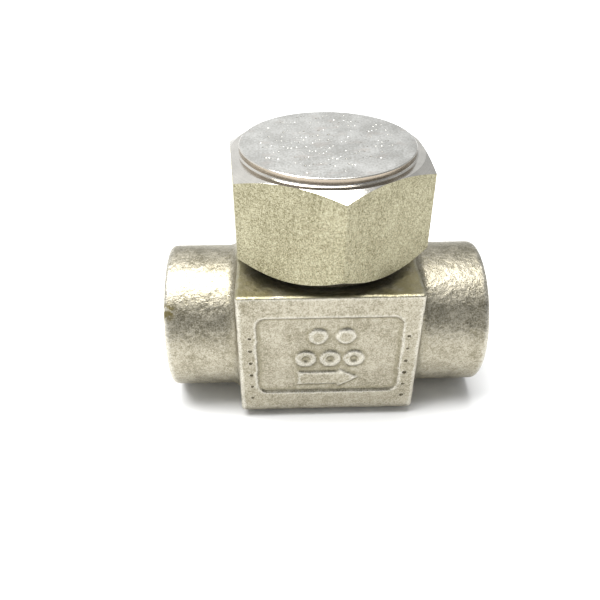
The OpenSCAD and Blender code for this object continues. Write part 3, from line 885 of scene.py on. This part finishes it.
class VALVE_OT_cap(ValveOperator):
    """Makes the hexagon cap: turned boss, chamfers, threaded hollow and peened dimples"""

    bl_idname = "valve.make_cap"
    bl_label = "Cap"

    def execute(self, context):
        size = context.scene.valve_cap
        low, top = cap_low.z, cap_high.z
        shoulder = top - size.boss_height
        corner = size.across_flats / 2 / math.cos(math.radians(30))
        only_nothing()
        bpy.ops.mesh.primitive_cylinder_add(
            vertices=6, radius=corner, depth=top - low + 2 * MM, location=(0, 0, (top + low) / 2),
            rotation=(0, 0, math.pi / 6 + size.turn),
        )
        obj = placed(bpy.context.object, "hexagon_cap")
        coat(obj, sawn_flat())
        bright = turned_face("turned_steel", tuple(finishes().turned), 0.12, 0.22, 0.14, 0.005)
        carve(obj, self.turned_outline(size, low, shoulder, top, corner), bright, "INTERSECT")
        modify(obj, "BEVEL", width=size.edge_width, segments=2, limit_method="ANGLE",
               angle_limit=math.radians(17), use_clamp_overlap=True)
        self.hollow(obj, size, low)
        self.face_boss(obj, size, top)
        self.peen(obj, size)
        smooth(obj, 28)
        modify(obj, "WEIGHTED_NORMAL", keep_sharp=True)
        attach(obj, "cap")
        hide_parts("cap")
        return {"FINISHED"}

    def turned_outline(self, size, low, shoulder, top, corner):
        """What the lathe leaves of the bar: foot chamfer, top chamfer, shoulder and boss."""
        wide = corner + MM
        foot_rise = (wide - size.foot_chamfer_radius) * math.tan(size.foot_chamfer_slope)
        top_fall = (wide - size.top_chamfer_radius) * math.tan(size.top_chamfer_slope)
        fillet, edge = size.boss_fillet, size.boss_edge
        profile = [
            (size.foot_chamfer_radius, low),
            (wide, low + foot_rise),
            (wide, shoulder - top_fall),
            (size.top_chamfer_radius, shoulder),
            (size.boss_radius + fillet, shoulder),
            (size.boss_radius + 0.3 * fillet, shoulder + 0.3 * fillet),
            (size.boss_radius, shoulder + fillet),
            (size.boss_radius, top - edge),
            (size.boss_radius - edge, top),
        ]
        return turned_shape(profile, "outline", 192, ring=False)

    def hollow(self, obj, size, low):
        """The threaded hollow, the gasket's recess and the spring's pocket."""
        steel = turned_face("cap_bore", tuple(0.85 * c for c in finishes().turned), 0.2, 0.32, 0.2, 0.008)
        mouth = 0.6 * MM
        over = 0.1 * MM
        opening = [
            (size.major_radius + mouth + over, low - over),
            (size.minor_radius, low + mouth + size.major_radius - size.minor_radius),
            (size.minor_radius, size.ceiling),
        ]
        carve(obj, turned_shape(opening, "opening", 128, ring=False), steel)
        recess = [
            (size.gasket_inner, size.ceiling - over),
            (size.gasket_outer, size.ceiling - over),
            (size.gasket_outer, size.gasket_top),
            (size.gasket_inner, size.gasket_top),
        ]
        carve(obj, turned_shape(recess, "recess"), steel)
        carve(obj, rod(size.pocket_radius, (0, 0, size.ceiling - over), (0, 0, size.pocket_top)), steel)
        start = low + 1.6 * MM
        turns = int((size.ceiling - start) / size.pitch - 0.6)
        tap = screw_ridge(size.minor_radius, size.major_radius, size.pitch, start, turns, "tap")
        carve(obj, tap, steel)

    def peen(self, obj, size):
        """Short broken rows of shallow dimples across the top of the boss."""
        wander = Random(11)
        reach = size.boss_radius - 2.4 * MM
        points = []
        for row in range(size.dimple_rows):
            y = reach * (1 - 2 * (row + 0.5) / size.dimple_rows)
            half = math.sqrt(max(0.0, reach * reach - y * y)) * wander.uniform(0.8, 0.97)
            x = -half
            while x < half:
                if wander.random() < 0.78:
                    scale = wander.uniform(0.5, 1.15)
                    lift = size.dimple_radius * scale * wander.uniform(0.62, 0.9)
                    points.append(((x, y + wander.uniform(-0.95, 0.95) * MM, cap_high.z + lift), scale))
                    x += wander.uniform(0.6, 1.25) * MM
                else:
                    x += wander.uniform(0.9, 2.4) * MM
        carve(obj, beads(points, size.dimple_radius, "dimple_tool"), punched())

    def face_boss(self, obj, size, top):
        """Gives the flat top of the boss the faced finish, and its rim a darker one that is part tarnish and
        part painted dark reflection.
        """
        obj.data.materials.append(boss_face())
        # Darker rim tone: part tarnish, part painted dark reflection.
        tarnish_and_dark_reflection = turned_face("boss_rim", tuple(finishes().rim), 0.16, 0.26, 0.2, 0.006)
        obj.data.materials.append(tarnish_and_dark_reflection)
        faced, rim = len(obj.data.materials) - 2, len(obj.data.materials) - 1
        side_foot = top - size.boss_height + size.boss_fillet
        for face in obj.data.polygons:
            place = face.center
            if place.z > top - size.boss_edge and place.xy.length < size.boss_radius - size.boss_edge:
                face.material_index = faced
            elif place.z > side_foot and abs(face.normal.z) < 0.5:
                face.material_index = rim


class VALVE_OT_spring(ValveOperator):
    """Makes the return spring, with closed and ground ends"""

    bl_idname = "valve.make_spring"
    bl_label = "Spring"

    def execute(self, context):
        size = context.scene.valve_spring
        wire = size.wire_radius
        mean = spring_high.x - wire
        turns = size.coils + 2
        only_nothing()
        bpy.ops.mesh.primitive_circle_add(vertices=14, radius=wire, location=(mean, 0, 0),
                                          rotation=(math.pi / 2, 0, 0))
        obj = bpy.context.object
        bpy.ops.object.transform_apply(location=True, rotation=True, scale=True)
        pitch = 3 * wire
        modify(obj, "SCREW", axis="Z", screw_offset=pitch, iterations=turns, steps=56, render_steps=56,
               use_merge_vertices=False)
        close_ends(obj, 20)
        low, high = spring_low.z, spring_high.z
        grind = 0.35 * wire
        close = 2.1 * wire
        first, last = low + wire - grind, high - wire + grind
        for vertex in obj.data.vertices:
            x, y, z = vertex.co
            turn, _ = turn_at(x, y, z, pitch)
            if turn < 1:
                middle = first + close * turn
            elif turn > turns - 1:
                middle = last - close * (turns - turn)
            else:
                middle = first + close + (last - first - 2 * close) * (turn - 1) / size.coils
            vertex.co.z = clamp(middle + z - pitch * turn, low, high)
        placed(obj, "spring_coil")
        coat(obj, drawn_wire())
        smooth(obj, 50)
        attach(obj, "body")
        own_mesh(obj)
        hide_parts("return_spring")
        return {"FINISHED"}


class VALVE_OT_inner_parts(ValveOperator):
    """Gives the pieces inside the valve their finishes"""

    bl_idname = "valve.finish_inner_parts"
    bl_label = "Inner parts"

    def execute(self, context):
        tones = finishes()
        bright = tuple(tones.turned)
        turned = turned_face("fine_turned_steel", bright, 0.16, 0.28, 0.18, 0.008)
        fastener = turned_face("fastener_steel", tuple(0.85 * c for c in bright), 0.24, 0.38, 0.12, 0.006)
        white = seal("pressed_white_seal", tuple(tones.seal_white), (0.74, 0.72, 0.65), 0.42, 0.01)
        dark = seal("graphite_seal", tuple(tones.seal_dark), (0.14, 0.14, 0.15), 0.5, 0.02)
        given = {
            "guide_cage": turned,
            "piston": turned,
            "seat_ring": turned,
            "insert_retainer": turned,
            "spring_washer": turned,
            "lock_washer": fastener,
            "retainer_nut": fastener,
            "retainer_bolt": fastener,
            "seat_insert": white,
            "seat_gasket": dark,
            "cap_gasket": dark,
            "piston_ring_lower": dark,
            "piston_ring_upper": dark,
        }
        for name, material in given.items():
            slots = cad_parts[name].material_slots
            for slot in slots:
                slot.link = "OBJECT"
                slot.material = material
        return {"FINISHED"}


class VALVE_OT_stage(ValveOperator):
    """Makes the floor, the light and the camera"""

    bl_idname = "valve.make_stage"
    bl_label = "Stage"

    def execute(self, context):
        stage = context.scene.valve_stage
        only_nothing()
        bpy.ops.mesh.primitive_plane_add(size=8, location=(0, 0, cad_low.z))
        floor = placed(bpy.context.object, "floor")
        plain = Finish("plain_floor", roughness=0.6, emission_strength=stage.glow)
        mottle = plain.grain(60.0, 2.0).band(0.3, 0.7)
        tone = tuple(stage.floor_tone)
        away = plain.axis_distance(plain.x, plain.y).band(55.0, 150.0)
        colour = mottle.mixed(tuple(0.985 * c for c in tone), tone)
        coat(floor, plain.use(colour, glow=away.mixed((0, 0, 0), (1, 1, 1))))
        light_size = (0.27, 0.52)
        light_place, light_target = (-0.1, -0.02, 0.55), (-0.02, 0, 0.03)
        self.light("top_light", stage.top_light, light_size, light_place, light_target)
        self.surround(context, stage)
        self.camera(context, stage)
        context.scene.view_settings.view_transform = "Standard"
        return {"FINISHED"}

    def surround(self, context, stage):
        """Plain surrounding light, stronger behind and to the left."""
        world = bpy.data.worlds.new("studio")
        context.scene.world = world
        world.use_nodes = True
        background = world.node_tree.nodes["Background"]
        direction = world.node_tree.nodes.new("ShaderNodeTexCoord")
        start = Wire(world.node_tree, direction.outputs["Generated"])
        split = start.node("ShaderNodeSeparateXYZ", {}, {0: start})
        ahead = Wire(world.node_tree, split.socket.node.outputs[1])
        depthwise = ahead.band(-0.8, 0.7, stage.surround_front, stage.surround_back)
        bright = depthwise * split.band(-0.4, 0.6, 1.15, 0.55)
        tint = (0.97, 0.985, 1.0)
        world.node_tree.links.new(bright.mixed((0, 0, 0), tint).socket, background.inputs["Color"])

    def camera(self, context, stage):
        """The camera, at its place and turn."""
        azimuth, elevation, roll = stage.camera_turn
        lens = bpy.data.cameras.new("camera")
        lens.sensor_width = 36
        lens.lens = stage.lens
        lens.clip_start, lens.clip_end = 0.005, 20
        camera = bpy.data.objects.new("camera", lens)
        context.scene.collection.objects.link(camera)
        camera.matrix_world = (
            Matrix.Translation(Vector(stage.camera_place))
            @ Matrix.Rotation(azimuth, 4, "Z")
            @ Matrix.Rotation(math.pi / 2 - elevation, 4, "X")
            @ Matrix.Rotation(roll, 4, "Z")
        )
        context.scene.camera = camera

    def light(self, name, power, size, place, target):
        """A rectangular soft light that faces the target."""
        lamp = bpy.data.lights.new(name, "AREA")
        lamp.shape = "RECTANGLE"
        lamp.size, lamp.size_y = size
        lamp.energy = power
        obj = bpy.data.objects.new(name, lamp)
        bpy.context.scene.collection.objects.link(obj)
        obj.location = place
        obj.rotation_euler = (Vector(target) - Vector(place)).to_track_quat("-Z", "Y").to_euler()


class VALVE_PT_panel(bpy.types.Panel):
    """Lists the valve's sizes and the operators that build it"""

    bl_label = "Check valve"
    bl_idname = "VALVE_PT_panel"
    bl_space_type = "VIEW_3D"
    bl_region_type = "UI"
    bl_category = "Check valve"

    def draw(self, context):
        for name, _, operator in GROUPS:
            box = self.layout.box()
            settings = getattr(context.scene, name, None)
            for key in settings.__annotations__ if settings else ():
                box.prop(settings, key)
            for step in operator:
                box.operator(step.bl_idname)


GROUPS = (
    ("valve_casting", CastingSettings, (VALVE_OT_casting,)),
    ("valve_neck", NeckSettings, (VALVE_OT_neck,)),
    ("valve_cap", CapSettings, (VALVE_OT_cap,)),
    ("valve_spring", SpringSettings, (VALVE_OT_spring,)),
    ("valve_finishes", FinishSettings, (VALVE_OT_inner_parts,)),
    ("valve_stage", StageSettings, (VALVE_OT_stage,)),
)


def register():
    for name, settings, operators in GROUPS:
        bpy.utils.register_class(settings)
        setattr(bpy.types.Scene, name, PointerProperty(type=settings))
        for operator in operators:
            bpy.utils.register_class(operator)
    bpy.utils.register_class(VALVE_PT_panel)


def unregister():
    bpy.utils.unregister_class(VALVE_PT_panel)
    for name, settings, operators in reversed(GROUPS):
        for operator in reversed(operators):
            bpy.utils.unregister_class(operator)
        delattr(bpy.types.Scene, name)
        bpy.utils.unregister_class(settings)


def main():
    """Builds the whole valve and its stage."""
    register()
    bpy.ops.valve.make_casting()
    bpy.ops.valve.make_neck()
    bpy.ops.valve.make_cap()
    bpy.ops.valve.make_spring()
    bpy.ops.valve.finish_inner_parts()
    bpy.ops.valve.make_stage()


if __name__ == "__main__":
    main()
